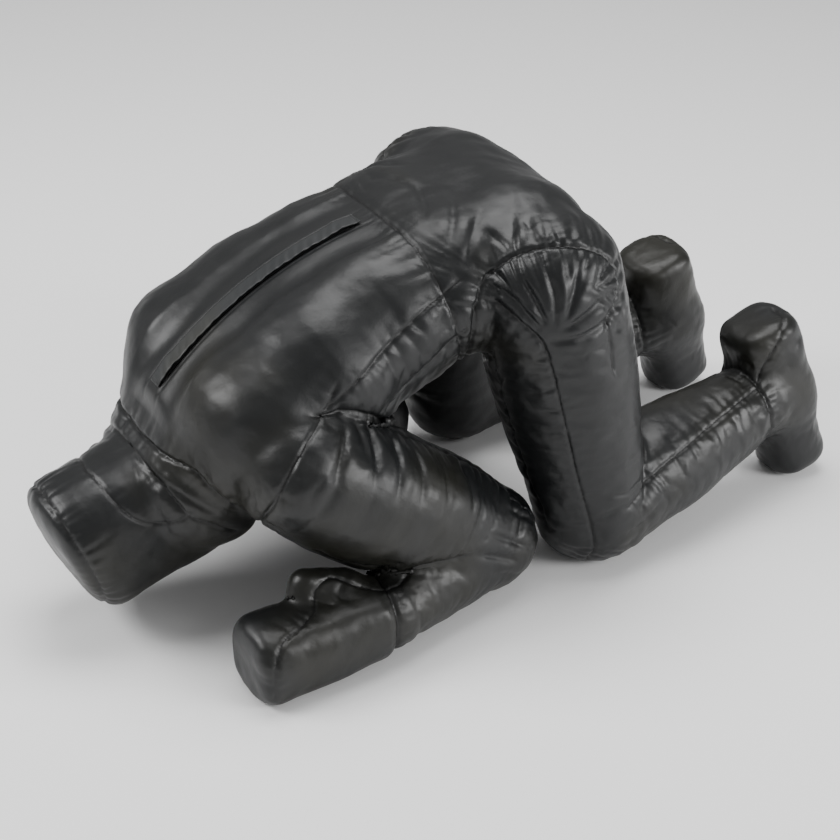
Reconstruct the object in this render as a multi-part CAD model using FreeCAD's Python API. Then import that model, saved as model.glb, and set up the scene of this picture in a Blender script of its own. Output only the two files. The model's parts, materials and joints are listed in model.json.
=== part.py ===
"""Stuffed grappling dummy, kneeling on knees, toes, elbows and fists.

The dummy faces -Y, its left side is +X and +Z is up. Every body section is a bag: a sewn cover of thin
synthetic leather round a firm textile filling. A section that turns on another one has a round end at
the joint, and its neighbour is hollowed to clear that end over the joint's whole travel. All sizes are
in millimetres.
"""

import FreeCAD
import Part
import math
import os

V = FreeCAD.Vector

# ---- sewn cover and clearances
LEATHER = 1.2  # thickness of the cover
FILL_GAP = 0.4  # between the cover and the filling
CLEAR = 0.8  # between two sections that turn on each other
BIG = 900  # larger than any section

# ---- joint centres of the left-hand side; the right-hand side mirrors them in X
SHIFT = -35  # moves the whole dummy along Y so that the middle of its length is at the origin
SHOULDER = V(196, -281 + SHIFT, 292)
ELBOW = V(200, 21 + SHIFT, 82)
WRIST = V(277, -178 + SHIFT, 64)
HIP = V(161, 143 + SHIFT, 465)
KNEE = V(211, 212 + SHIFT, 85)
ANKLE = V(167, 545 + SHIFT, 151)
HEEL = V(148, 577 + SHIFT, 238)
TOE = V(164, 634 + SHIFT, 50)
NECK = V(0, -383 + SHIFT, 192)
WAIST = V(0, 54 + SHIFT, 480)

# ---- limb radii at each joint centre
R_SHOULDER = 94
R_ELBOW = 84
R_FOREARM = 76  # forearm at the elbow
R_WRIST = 60
R_HAND_BALL = 52
R_HIP = 114
R_KNEE = 88
R_SHIN = 87  # shin at the knee
R_ANKLE = 63
R_NECK = 100
R_WAIST = 126  # round nose of the pelvis, as a cylinder across the waist

# ---- trunk sections: y, z, pitch in degrees, half width, half depth
TRUNK = [
    (-388, 214, 50, 104, 92),
    (-370, 236, 49, 140, 104),
    (-338, 274, 45, 182, 112),
    (-285, 326, 37, 208, 117),
    (-195, 388, 27, 204, 118),
    (-110, 427, 19, 184, 114),
    (-30, 452, 14, 172, 112),
    (70, 476, 6, 172, 113),
    (150, 476, -12, 172, 106),
    (205, 452, -34, 156, 82),
    (234, 432, -48, 84, 44),
]
TRUNK_POWER = 2.4  # superellipse power, 2 for an ellipse
TORSO_MIDDLE = V(0, -200 + SHIFT, 385)
SEAM_PITCH = 27  # slope of the torso's long seams
BACK_SEAM = 38  # long seams above and below the torso's middle
BELLY_SEAM = -62
WAIST_PITCH = 22  # slope of the waist
SEAT_SEAM = -20  # seat seam above the hip centres

# ---- head sections along its own axis: distance from the neck centre, half width, half height
HEAD_PITCH = 17  # degrees below level
HEAD = [
    (50, 93, 103),
    (85, 97, 107),
    (120, 97, 108),
    (160, 96, 106),
    (188, 89, 99),
    (204, 72, 82),
]
HEAD_POWER = 2.6
COLLAR_END = 62  # where the collar meets the head's own panels
NAPE_END = 118
NAPE_HEIGHT = 40  # nape seam above the head's own axis
CROWN_START = 184

# ---- hand sections along the line from the wrist: distance, half width, half height
HAND_AIM = V(283, -370 + SHIFT, 57)
HAND = [
    (12, 50, 51),
    (36, 55, 56),
    (90, 58, 58),
    (160, 59, 59),
    (205, 56, 56),
    (235, 46, 46),
    (246, 32, 32),
]
HAND_POWER = 2.7
THUMB_ROOT = V(252, -236 + SHIFT, 100)
THUMB_TIP = V(240, -312 + SHIFT, 124)
R_THUMB = 27
R_THUMB_TIP = 24

# ---- foot sections from the heel to the toe: distance, offset to the front, half width, half depth
FOOT = [
    (-56, 2, 24, 28),
    (-44, 4, 44, 48),
    (-5, 12, 56, 66),
    (60, 24, 60, 82),
    (105, 24, 59, 78),
    (150, 12, 56, 64),
    (200, 1, 52, 52),
    (228, -2, 44, 41),
    (240, -2, 26, 24),
]
FOOT_POWER = 2.4
SOLE_DEPTH = 26  # sole seam behind the line from the heel to the toe
ANKLE_PLANE = 12  # where the foot starts behind the ankle centre

# ---- zipper down the back, on a circular arc about an axis along X, and the flap that covers it
ZIP_R = 610
ZIP_MIDDLE = V(0, -260 + SHIFT, 486)
ZIP_PITCH = 29.0  # slope of the back at the middle of the zipper
ZIP_SPAN = 33.5  # degrees of arc
ZIP_END_GAP = 0.5  # degrees of arc left free at each end of the opening
ZIP_TRENCH = 8  # depth of the opening in the filling
ZIP_TRENCH_TOP = 40  # the opening is cut from this far above the arc
TAPE_WIDTH = 9
TAPE = 1.0
TAPE_DEPTH = 1.0  # top of the tape below the arc
TEETH_WIDTH = 6
TEETH = 2.0
TEETH_DEPTH = 1.5  # underside of the teeth below the arc
SLIDER_LENGTH = 12
SLIDER = 3.0
SLIDER_RISE = 1.0  # underside of the slider above the arc
SLIDER_OVERHANG = 2.0  # past the teeth on each side
SLIDER_START = 1.0  # degrees of arc from the zipper's end
FLAP_SPAN = 36.0
FLAP_WIDTH = 30
FLAP = 2.4
FLAP_RISE = 5.0  # from the back to the underside of the flap
FLAP_ROOT = 4.0
ROOT_RISE = 2.8

KNEE_CLOSES = 25  # degrees further that the shin can fold up

# ---- flat faces that keep a section clear of its neighbour
NECK_PLANE = 22  # shoulder face behind the neck centre
NECK_PITCH = 43
WRIST_PLANE = 5  # forearm end before the wrist centre
BLOCK_MARGIN = 0.6  # keeps a flat face from touching a round one
ARM_MARGIN = 3.0  # room beside the upper arm where it leaves the ribs
HIP_OPENS = 25  # degrees that the thigh can swing back

# ---- directions of the limbs' long seams
ARM_SEAM = V(0, 0.57, 0.82)  # along the top of the upper arm
THIGH_SEAM = V(1, 0, 0.13)  # normal of the plane through the front and back seams
SHIN_SEAM = V(1, 0.13, 0)

X_AXIS = V(1, 0, 0)


def tapered(a, radius_a, b, radius_b):
    """Solid of revolution: a ball at each end and the cone that is tangent to both balls."""
    along = b - a
    length = along.Length
    along.normalize()
    across = along.cross(V(0, 0, 1)).normalize()
    slope = (radius_a - radius_b) / length
    side = math.sqrt(1 - slope * slope)
    tangent_a = a + along * (radius_a * slope) + across * (radius_a * side)
    tangent_b = b + along * (radius_b * slope) + across * (radius_b * side)
    tilt_a = math.pi - (math.pi - math.acos(slope)) / 2
    tilt_b = math.acos(slope) / 2
    pole_a = a - along * radius_a
    pole_b = b + along * radius_b
    middle_a = a + along * (radius_a * math.cos(tilt_a)) + across * (radius_a * math.sin(tilt_a))
    middle_b = b + along * (radius_b * math.cos(tilt_b)) + across * (radius_b * math.sin(tilt_b))
    edges = [Part.Arc(pole_a, middle_a, tangent_a).toShape(), Part.makeLine(tangent_a, tangent_b)]
    edges.append(Part.Arc(tangent_b, middle_b, pole_b).toShape())
    edges.append(Part.makeLine(pole_b, pole_a))
    return Part.Face(Part.Wire(edges)).revolve(a, along, 360)


def superellipse(centre, across, upward, half_width, half_height, power, count=28):
    """Closed smooth wire through points of a superellipse."""
    points = []
    for i in range(count):
        angle = 2 * math.pi * i / count
        c = math.cos(angle)
        s = math.sin(angle)
        w = math.copysign(abs(c) ** (2.0 / power), c) * half_width
        h = math.copysign(abs(s) ** (2.0 / power), s) * half_height
        points.append(centre + across * w + upward * h)
    curve = Part.BSplineCurve()
    curve.interpolate(Points=points, PeriodicFlag=True)
    return Part.Wire(curve.toShape())


def trunk(grow):
    """The whole trunk from the neck to the seat, before any hollow is cut."""
    wires = []
    for index, (y, z, pitch, half_width, half_depth) in enumerate(TRUNK):
        angle = math.radians(pitch)
        upward = V(0, -math.sin(angle), math.cos(angle))
        along = V(0, math.cos(angle), math.sin(angle))
        centre = V(0, y + SHIFT, z)
        if index == 0:
            centre -= along * grow
        if index == len(TRUNK) - 1:
            centre += along * grow
        wires.append(superellipse(centre, X_AXIS, upward, half_width + grow, half_depth + grow, TRUNK_POWER))
    return Part.makeLoft(wires, True, False)


def lofted(sections, origin, along, power, grow):
    """Boxy section lofted along a straight line."""
    across = along.cross(V(0, 0, 1)).normalize()
    upward = across.cross(along).normalize()
    wires = []
    for index, (distance, half_width, half_height) in enumerate(sections):
        if index == 0:
            distance -= grow
        if index == len(sections) - 1:
            distance += grow
        centre = origin + along * distance
        wires.append(superellipse(centre, across, upward, half_width + grow, half_height + grow, power))
    return Part.makeLoft(wires, True, False)


def grounded(solid, grow):
    """Flat where the weight presses the section on the floor."""
    return solid.cut(half_space(V(0, 0, -grow), V(0, 0, -1)))


def mirrored(solid):
    return solid.mirror(V(0, 0, 0), V(1, 0, 0))


def half_space(point, normal):
    """Large block on the side of a plane that the normal points to."""
    block = Part.makeBox(2 * BIG, 2 * BIG, BIG, V(-BIG, -BIG, 0))
    block.Placement = FreeCAD.Placement(point, FreeCAD.Rotation(V(0, 0, 1), normal))
    return block


def pitched(pitch):
    angle = math.radians(pitch)
    return V(0, math.cos(angle), math.sin(angle))


def tangent_plane(centre, radius, far_centre, far_radius, side):
    """Point and outward normal of the plane that touches two balls on the given side."""
    along = (far_centre - centre).normalize()
    slope = (radius - far_radius) / (far_centre - centre).Length
    side = (side - along * side.dot(along)).normalize()
    normal = side * math.sqrt(1 - slope * slope) + along * slope
    return centre + normal * radius, normal


# ---- each body section at a given growth: 0 outside, negative for the layers inside it
HEAD_LINE = pitched(180 + HEAD_PITCH)
HAND_LINE = (HAND_AIM - WRIST).normalize()
SHIN_LINE = (ANKLE - KNEE).normalize()


def ball(centre, radius):
    return Part.makeSphere(radius, centre)


def head(grow):
    return lofted(HEAD, NECK, HEAD_LINE, HEAD_POWER, grow).fuse(ball(NECK, R_NECK + grow))


def upper_arm(grow):
    return grounded(tapered(SHOULDER, R_SHOULDER + grow, ELBOW, R_ELBOW + grow), grow)


def hand(grow):
    palm = lofted(HAND, WRIST, HAND_LINE, HAND_POWER, grow)
    thumb = tapered(THUMB_ROOT, R_THUMB + grow, THUMB_TIP, R_THUMB_TIP + grow)
    return grounded(palm.fuse([ball(WRIST, R_HAND_BALL + grow), thumb]), grow)


def forearm(grow):
    """The forearm is pressed flat by the upper arm above it."""
    gap = CLEAR - grow
    blank = tapered(ELBOW, R_FOREARM + grow, WRIST, R_WRIST + grow)
    inside = WRIST - ELBOW
    point, normal = tangent_plane(ELBOW, R_ELBOW + gap, SHOULDER, R_SHOULDER + gap, inside)
    pressed = half_space(point + normal * BLOCK_MARGIN, normal * -1)
    end = half_space(WRIST - HAND_LINE * (WRIST_PLANE - grow), HAND_LINE)
    blank = blank.cut([pressed, end, ball(ELBOW, R_ELBOW + gap), ball(WRIST, R_HAND_BALL + gap)])
    return grounded(blank, grow)


def thigh(grow):
    return grounded(tapered(HIP, R_HIP + grow, KNEE, R_KNEE + grow), grow)


def shin(grow):
    """The shin is cut back behind the knee so that the knee can close further."""
    gap = CLEAR - grow
    blank = tapered(KNEE, R_SHIN + grow, ANKLE, R_ANKLE + grow)
    point, normal = tangent_plane(KNEE, R_KNEE + gap, HIP, R_HIP + gap, ANKLE - KNEE)
    crease = half_space(point + normal * BLOCK_MARGIN, normal * -1)
    crease.rotate(KNEE, X_AXIS, -KNEE_CLOSES)
    return grounded(blank.cut([crease, ball(KNEE, R_KNEE + gap)]), grow)


def foot(grow):
    along = (TOE - HEEL).normalize()
    across = X_AXIS
    forward = along.cross(across).normalize()
    across = forward.cross(along).normalize()
    wires = []
    for index, (distance, offset, half_width, half_depth) in enumerate(FOOT):
        if index == 0:
            distance -= grow
        if index == len(FOOT) - 1:
            distance += grow
        centre = HEEL + along * distance + forward * offset
        wires.append(superellipse(centre, across, forward, half_width + grow, half_depth + grow, FOOT_POWER))
    blank = Part.makeLoft(wires, True, False)
    end = half_space(ANKLE + SHIN_LINE * (ANKLE_PLANE - grow), SHIN_LINE * -1)
    return grounded(blank.cut([end, ball(ANKLE, R_ANKLE + CLEAR - grow)]), grow)


def both_sides(cutters):
    return cutters + [mirrored(cutter) for cutter in cutters]


def waist_cylinder(radius):
    return Part.makeCylinder(radius, 2 * BIG, WAIST - X_AXIS * BIG, X_AXIS)


def pelvis(grow):
    gap = R_HIP + CLEAR - grow
    nose = waist_cylinder(R_WAIST + grow)
    rear = half_space(WAIST, pitched(WAIST_PITCH)).fuse(nose)
    edge = gap + BLOCK_MARGIN
    leg = Part.makeBox(BIG, BIG, BIG, HIP + V(-edge, -edge, -BIG))
    leg_back = leg.copy()
    leg_back.rotate(HIP, X_AXIS, HIP_OPENS)
    return trunk(grow).common(rear).cut(both_sides([ball(HIP, gap), leg, leg_back]))


def arm_block(gap):
    """Block round the upper arm, open outwards, so that the arm can swing away from the ribs."""
    edge = R_SHOULDER + gap + ARM_MARGIN
    along = (ELBOW - SHOULDER).normalize()
    outward = (X_AXIS - along * along.dot(X_AXIS)).normalize()
    upward = along.cross(outward).normalize()
    block = Part.makeBox(BIG, BIG, 2 * edge)
    corner = SHOULDER - outward * edge - upward * edge
    block.Placement = FreeCAD.Placement(corner, FreeCAD.Rotation(along, outward, upward, "XYZ"))
    return block


def zip_layer(inner, outer, left, right, start, end):
    """Slice of a ring about the zipper's centre, between two widths and two arc angles."""
    centre = ZIP_CENTRE
    ring = Part.makeCylinder(outer, right - left, centre + X_AXIS * left, X_AXIS)
    ring = ring.cut(Part.makeCylinder(inner, right - left, centre + X_AXIS * left, X_AXIS))
    wedge = ring.common(half_space(centre, turned_line(start)))
    return wedge.common(half_space(centre, turned_line(end) * -1))


def turned_line(arc):
    """Direction along the back at an arc angle from the middle of the zipper, towards the waist."""
    return pitched(ZIP_PITCH - arc)


ZIP_CENTRE = ZIP_MIDDLE - V(0, -math.sin(math.radians(ZIP_PITCH)), math.cos(math.radians(ZIP_PITCH))) * ZIP_R


def torso(grow):
    gap = CLEAR - grow
    cutters = [half_space(WAIST, pitched(WAIST_PITCH)), waist_cylinder(R_WAIST + gap)]
    cutters += both_sides([ball(SHOULDER, R_SHOULDER + gap), arm_block(gap)])
    cutters.append(half_space(NECK + pitched(NECK_PITCH) * (NECK_PLANE - grow), pitched(180 + NECK_PITCH)))
    cutters.append(ball(NECK, R_NECK + gap))
    half_slot = TEETH_WIDTH / 2.0 + TAPE_WIDTH - grow
    half_span = ZIP_SPAN / 2.0
    cutters.append(zip_layer(ZIP_R - ZIP_TRENCH, ZIP_R + ZIP_TRENCH_TOP, -half_slot, half_slot, -half_span, half_span))
    return trunk(grow).cut(cutters)


def bag(section):
    """Cover and filling of a body section."""
    cover = section(0).cut(section(-LEATHER))
    filling = section(-LEATHER - FILL_GAP)
    return cover, filling


def split(solid, point, normal):
    """The two parts of a solid on either side of a plane, first the one the normal points to."""
    block = half_space(point, normal)
    return solid.common(block), solid.cut(block)


os.makedirs("parts", exist_ok=True)


def save(solid, name):
    solid.exportStep("parts/" + name + ".step")


def save_pair(solid, name):
    save(solid, name + "_left")
    save(mirrored(solid), name + "_right")


# ---- torso: back panels either side of the zipper, two side panels and a belly panel
cover, filling = bag(torso)
save(filling, "torso_filling")
upward = V(0, -math.sin(math.radians(SEAM_PITCH)), math.cos(math.radians(SEAM_PITCH)))
back, rest = split(cover, TORSO_MIDDLE + upward * BACK_SEAM, upward)
side, belly = split(rest, TORSO_MIDDLE + upward * BELLY_SEAM, upward)
for name, panel in (("back_panel", back), ("side_panel", side)):
    left, right = split(panel, V(0, 0, 0), X_AXIS)
    save(left, name + "_left")
    save(right, name + "_right")
save(belly, "belly_panel")

# ---- zipper, closed, with its slider at the neck end
half_teeth = TEETH_WIDTH / 2.0
half_span = ZIP_SPAN / 2.0 - ZIP_END_GAP
tape_top = ZIP_R - TAPE_DEPTH
tape = zip_layer(tape_top - TAPE, tape_top, half_teeth, half_teeth + TAPE_WIDTH, -half_span, half_span)
save_pair(tape, "zip_tape")
teeth_base = ZIP_R - TEETH_DEPTH
save(zip_layer(teeth_base, teeth_base + TEETH, -half_teeth, half_teeth, -half_span, half_span), "zip_teeth")
slider_start = -half_span + SLIDER_START
slider_end = slider_start + math.degrees(SLIDER_LENGTH / float(ZIP_R))
slider_base = ZIP_R + SLIDER_RISE
half_slider = half_teeth + SLIDER_OVERHANG
slider = zip_layer(slider_base, slider_base + SLIDER, -half_slider, half_slider, slider_start, slider_end)
save(slider, "zip_slider")

# ---- flap over the zipper, sewn down along its right-hand edge
half_flap = FLAP_WIDTH / 2.0
flap_arc = FLAP_SPAN / 2.0
flap_base = ZIP_R + FLAP_RISE
flap = zip_layer(flap_base, flap_base + FLAP, -half_flap, half_flap, -flap_arc, flap_arc)
root = zip_layer(ZIP_R + ROOT_RISE, flap_base, -half_flap, FLAP_ROOT - half_flap, -flap_arc, flap_arc)
save(flap.fuse(root).removeSplitter(), "zip_flap")

# ---- pelvis: a seat panel above and behind, a lower panel between the legs
cover, filling = bag(pelvis)
save(filling, "pelvis_filling")
seat, lower = split(cover, V(0, HIP.y, HIP.z) + upward * SEAT_SEAM, upward)
save(seat, "seat_panel")
save(lower, "crotch_panel")

# ---- head: collar, a wrap for face and sides, a nape panel and a round crown panel
cover, filling = bag(head)
save(filling, "head_filling")
crown, rest = split(cover, NECK + HEAD_LINE * CROWN_START, HEAD_LINE)
collar, rest = split(rest, NECK + HEAD_LINE * COLLAR_END, HEAD_LINE * -1)
nape_block = half_space(NECK + pitched(90 + HEAD_PITCH) * NAPE_HEIGHT, pitched(90 + HEAD_PITCH))
nape_block = nape_block.common(half_space(NECK + HEAD_LINE * NAPE_END, HEAD_LINE * -1))
save(crown, "crown_panel")
save(collar, "neck_collar")
save(rest.common(nape_block), "nape_panel")
save(rest.cut(nape_block), "face_panel")


def save_limb(section, name, first, second, point, normal):
    """Filling and two cover panels of a limb, for both sides of the body."""
    cover, filling = bag(section)
    save_pair(filling, name + "_filling")
    panel, rest = split(cover, point, normal)
    save_pair(panel, name + "_" + first)
    save_pair(rest, name + "_" + second)


def seam_normal(a, b, reference):
    """Normal of the plane that holds a limb's axis and the reference direction."""
    return (b - a).cross(reference).normalize()


arm_normal = seam_normal(SHOULDER, ELBOW, ARM_SEAM)
if arm_normal.x < 0:
    arm_normal = arm_normal * -1
save_limb(upper_arm, "upper_arm", "outer_panel", "inner_panel", SHOULDER, arm_normal)
save_limb(forearm, "forearm", "upper_panel", "lower_panel", ELBOW, V(0, 0, 1))
save_limb(hand, "hand", "back_panel", "palm_panel", WRIST, V(0, 0, 1))
save_limb(thigh, "thigh", "outer_panel", "inner_panel", HIP, THIGH_SEAM.normalize())
save_limb(shin, "shin", "outer_panel", "inner_panel", KNEE, SHIN_SEAM.normalize())
sole_line = (TOE - HEEL).cross(X_AXIS).normalize()
save_limb(foot, "foot", "upper", "sole", HEEL - sole_line * SOLE_DEPTH, sole_line)
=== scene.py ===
import json
import math

import bpy
import bmesh
import numpy as np
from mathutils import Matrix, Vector


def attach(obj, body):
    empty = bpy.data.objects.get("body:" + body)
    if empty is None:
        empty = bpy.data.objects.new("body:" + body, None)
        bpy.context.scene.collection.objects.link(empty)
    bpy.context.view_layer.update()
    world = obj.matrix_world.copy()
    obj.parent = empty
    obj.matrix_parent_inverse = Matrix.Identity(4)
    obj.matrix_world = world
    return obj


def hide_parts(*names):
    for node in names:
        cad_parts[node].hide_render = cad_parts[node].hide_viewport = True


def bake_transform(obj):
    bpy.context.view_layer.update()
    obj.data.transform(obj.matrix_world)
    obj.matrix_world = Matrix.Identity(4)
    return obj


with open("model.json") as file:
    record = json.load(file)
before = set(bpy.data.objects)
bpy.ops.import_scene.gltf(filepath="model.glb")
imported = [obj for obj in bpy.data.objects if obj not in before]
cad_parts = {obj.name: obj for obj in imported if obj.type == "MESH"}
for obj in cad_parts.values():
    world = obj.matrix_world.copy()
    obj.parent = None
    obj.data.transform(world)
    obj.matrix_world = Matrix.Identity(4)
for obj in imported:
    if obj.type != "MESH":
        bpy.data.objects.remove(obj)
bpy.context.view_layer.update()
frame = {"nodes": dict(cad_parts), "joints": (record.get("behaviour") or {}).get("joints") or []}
JOINTS = {joint["name"]: joint for joint in frame["joints"]}
SIDES = (("left", 1.0), ("right", -1.0))

# ---- sizes of the skin, in metres
VOXEL = 0.0055  # grid of the sewn cover before its last subdivision
FILLET = 0.012  # how softly two body sections run into each other
FLOOR_GAP = 0.0006  # the flats that the dummy rests on, above the floor
FLOOR_ROUND = 0.012  # rounding where a flat meets the section's side
R_SHOULDER = 0.095
R_ELBOW = 0.082  # lower end of the upper arm
R_FOREARM = 0.078  # its elbow end
R_CUFF = 0.053  # its wrist end
R_WRIST = 0.060
R_HIP = 0.118
R_KNEE = 0.088  # lower end of the thigh
R_CALF = 0.087  # knee end of the shin
R_ANKLE = 0.064
R_THUMB_ROOT = 0.030
R_THUMB_TIP = 0.027
HAND_HALF = 0.056  # half the width of the mitt at the wrist
HAND_LENGTH = 0.238  # from the wrist to the flat end
FOOT_HALF = 0.0585
FOOT_LENGTH = 0.243  # from the heel joint to the flat toe
HEAD_HALF_WIDTH = 0.099
HEAD_HALF_HEIGHT = 0.108
HEAD_LENGTH = 0.211  # from the neck to the crown
TRUNK = [  # y, z, half spread, radius: a row of flattened balls from the neck to the seat
    (-0.405, 0.225, 0.050, 0.102),
    (-0.322, 0.328, 0.110, 0.118),
    (-0.225, 0.386, 0.098, 0.116),
    (-0.124, 0.431, 0.080, 0.111),
    (-0.010, 0.462, 0.080, 0.111),
    (0.104, 0.484, 0.092, 0.116),
]
HEAD_PITCH = math.radians(17)
CROWN_PITCH = math.radians(25)


def joint_position(name):
    return np.array(JOINTS[name]["pos_m"], float)


SHOULDER = joint_position("shoulder_left")
ELBOW = joint_position("elbow_left")
WRIST = joint_position("wrist_left")
HIP = joint_position("hip_left")
KNEE = joint_position("knee_left")
ANKLE = joint_position("ankle_left")
NECK = joint_position("neck_nod")
HEEL = ANKLE + np.array([-0.020, 0.032, 0.086])
TOE = ANKLE + np.array([-0.004, 0.091, -0.098])
FIST = WRIST + np.array([0.008, -0.192, -0.008])
THUMB = (WRIST + np.array([-0.022, -0.070, 0.044]), WRIST + np.array([-0.032, -0.122, 0.061]))
HEAD_LINE = np.array([0, -math.cos(HEAD_PITCH), -math.sin(HEAD_PITCH)])
CROWN_LINE = np.array([0, -math.cos(CROWN_PITCH), -math.sin(CROWN_PITCH)])
HEAD_UP = np.array([0, -math.sin(HEAD_PITCH), math.cos(HEAD_PITCH)])


def unit(v):
    v = np.asarray(v, float)
    return v / np.linalg.norm(v)


# ---- distance fields of the body sections: negative inside
def round_cone(p, a, ra, b, rb, bulge=0.0):
    """A limb from a ball at a to a ball at b, thicker by the bulge halfway."""
    ab = b - a
    t = np.clip(((p - a) @ ab) / (ab @ ab), 0, 1)
    radius = ra + (rb - ra) * t + bulge * 4 * t * (1 - t)
    return np.linalg.norm(p - a - t[:, None] * ab, axis=1) - radius


def smooth_min(a, b, k):
    h = np.clip(0.5 + 0.5 * (b - a) / k, 0, 1)
    return b + (a - b) * h - k * h * (1 - h)


def smooth_max(a, b, k):
    return -smooth_min(-a, -b, k)


def trunk_field(p):
    """Flattened balls joined in a row: the spread goes across the body."""
    best = None
    for (y0, z0, w0, r0), (y1, z1, w1, r1) in zip(TRUNK, TRUNK[1:]):
        a = np.array([y0, z0])
        ab = np.array([y1, z1]) - a
        t = np.clip(((p[:, 1:] - a) @ ab) / (ab @ ab), 0, 1)
        across = np.maximum(np.abs(p[:, 0]) - (w0 + (w1 - w0) * t), 0)
        rest = p[:, 1:] - a - t[:, None] * ab
        d = np.sqrt(across ** 2 + (rest ** 2).sum(1)) - (r0 + (r1 - r0) * t)
        best = d if best is None else smooth_min(best, d, 0.03)
    return best


def boxy(x, h, half_width, half_height, power):
    """Section between an ellipse (power 2) and a rectangle (high power): negative inside."""
    return ((np.abs(x) / half_width) ** power + (np.abs(h) / half_height) ** power) ** (1 / power) - 1


def head_field(p):
    """A rounded box that narrows towards the neck, with a slightly domed crown and a ball at the neck."""
    q = p - NECK
    along = q @ HEAD_LINE
    height = q @ HEAD_UP
    taper = 1.0 - 0.10 * np.clip(-along / 0.08, 0, 1) - 0.05 * np.clip((along - 0.12) / 0.09, 0, 1) ** 2
    side = boxy(q[:, 0], height, HEAD_HALF_WIDTH, HEAD_HALF_HEIGHT, 2.5) * HEAD_HALF_WIDTH
    side = side + (1 - taper) * HEAD_HALF_WIDTH
    crown = (q - HEAD_LINE * HEAD_LENGTH) @ CROWN_LINE + 1.5 * (q[:, 0] ** 2 + (height + 0.01) ** 2)
    body = smooth_max(side, crown, 0.028)
    back = -along - 0.02
    return smooth_min(smooth_max(body, back, 0.03), np.linalg.norm(q, axis=1) - 0.098, 0.02)


def hand_field(p):
    """A closed mitt with a stub of a thumb; it narrows into the wrist."""
    line = unit(FIST - WRIST)
    across = unit(np.cross(line, [0, 0, 1]))
    up = np.cross(across, line)
    q = p - WRIST
    along = q @ line
    size = HAND_HALF + 0.006 * np.clip(along / 0.12, 0, 1) - 0.012 * np.clip((0.035 - along) / 0.055, 0, 1)
    side = boxy(q @ across, q @ up, 1.0, 1.0, 2.6) + 1 - size
    palm = smooth_max(smooth_max(side, along - HAND_LENGTH, 0.030), -along - 0.02, 0.02)
    thumb = round_cone(p, THUMB[0], R_THUMB_ROOT, THUMB[1], R_THUMB_TIP)
    return smooth_min(palm, thumb, 0.02)


def foot_field(p):
    """A boxy foot that points down at the floor, with a ball at the ankle."""
    line = unit(TOE - HEEL)
    forward = unit(np.cross(line, [1, 0, 0]))
    across = np.cross(forward, line)
    q = p - HEEL
    along = q @ line
    size = FOOT_HALF - 0.007 * np.clip(along / 0.2, 0, 1)
    side = boxy(q @ across, q @ forward, 1.0, 1.0, 3.0) + 1 - size
    boot = smooth_max(smooth_max(side, along - FOOT_LENGTH, 0.035), -along - 0.054, 0.028)
    ankle = round_cone(p, ANKLE, 0.062, (HEEL + TOE) / 2, 0.060)
    return smooth_min(boot, ankle, 0.03)


LIMBS = {
    "upper_arm": lambda p: round_cone(p, SHOULDER, R_SHOULDER, ELBOW, R_ELBOW, 0.017),
    "forearm": lambda p: round_cone(p, ELBOW, R_FOREARM, WRIST, R_CUFF, 0.002),
    "hand": hand_field,
    "thigh": lambda p: round_cone(p, HIP, R_HIP, KNEE, R_KNEE, 0.005),
    "shin": lambda p: round_cone(p, KNEE, R_CALF, ANKLE, R_ANKLE, 0.008),
    "foot": foot_field,
}
SECTIONS = ["trunk", "head"] + [name + "_" + side for name in LIMBS for side, _ in SIDES]


def section_fields(p):
    """Distance of each point to every body section, one column a section."""
    columns = [trunk_field(p), head_field(p)]
    for field in LIMBS.values():
        for _, sign in SIDES:
            columns.append(field(p * np.array([sign, 1, 1])))
    return np.stack(columns, 1)


def body_field(p):
    columns = section_fields(p)
    result = columns[:, 0]
    for i in range(1, columns.shape[1]):
        result = smooth_min(result, columns[:, i], FILLET)
    return smooth_max(result, FLOOR_GAP - p[:, 2], FLOOR_ROUND)


def settle(p, steps=6):
    """Moves points onto the body's surface."""
    step = 0.0008
    for _ in range(steps):
        d = body_field(p)
        slope = np.stack([(body_field(p + np.eye(3)[i] * step) - d) / step for i in range(3)], 1)
        length = np.maximum((slope ** 2).sum(1), 0.2)
        p = p - slope * (d / length)[:, None]
    return p


# ---- mesh helpers
def link(obj):
    bpy.context.scene.collection.objects.link(obj)
    return obj


def mesh_object(name, verts, faces):
    mesh = bpy.data.meshes.new(name)
    mesh.from_pydata([tuple(v) for v in verts], [], [tuple(f) for f in faces])
    mesh.update()
    return link(bpy.data.objects.new(name, mesh))


def coordinates(mesh):
    co = np.empty(len(mesh.vertices) * 3, np.float32)
    mesh.vertices.foreach_get("co", co)
    return co.reshape(-1, 3).astype(float)


def move_vertices(mesh, co):
    mesh.vertices.foreach_set("co", np.asarray(co, np.float32).ravel())
    mesh.update()


def vertex_normals(mesh):
    n = np.empty(len(mesh.vertices) * 3, np.float32)
    mesh.vertex_normals.foreach_get("vector", n)
    return n.reshape(-1, 3).astype(float)


def baked(obj):
    """The object's mesh with its modifiers applied."""
    graph = bpy.context.evaluated_depsgraph_get()
    mesh = bpy.data.meshes.new_from_object(obj.evaluated_get(graph))
    obj.modifiers.clear()
    obj.data = mesh
    return mesh


def ball_points(centre, radius):
    """Points spread evenly over a ball."""
    i = np.arange(160)
    z = 1 - 2 * (i + 0.5) / len(i)
    turn = i * math.pi * (3 - math.sqrt(5))
    ring = np.sqrt(1 - z * z)
    return np.array(centre) + radius * np.stack([ring * np.cos(turn), ring * np.sin(turn), z], 1)


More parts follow.
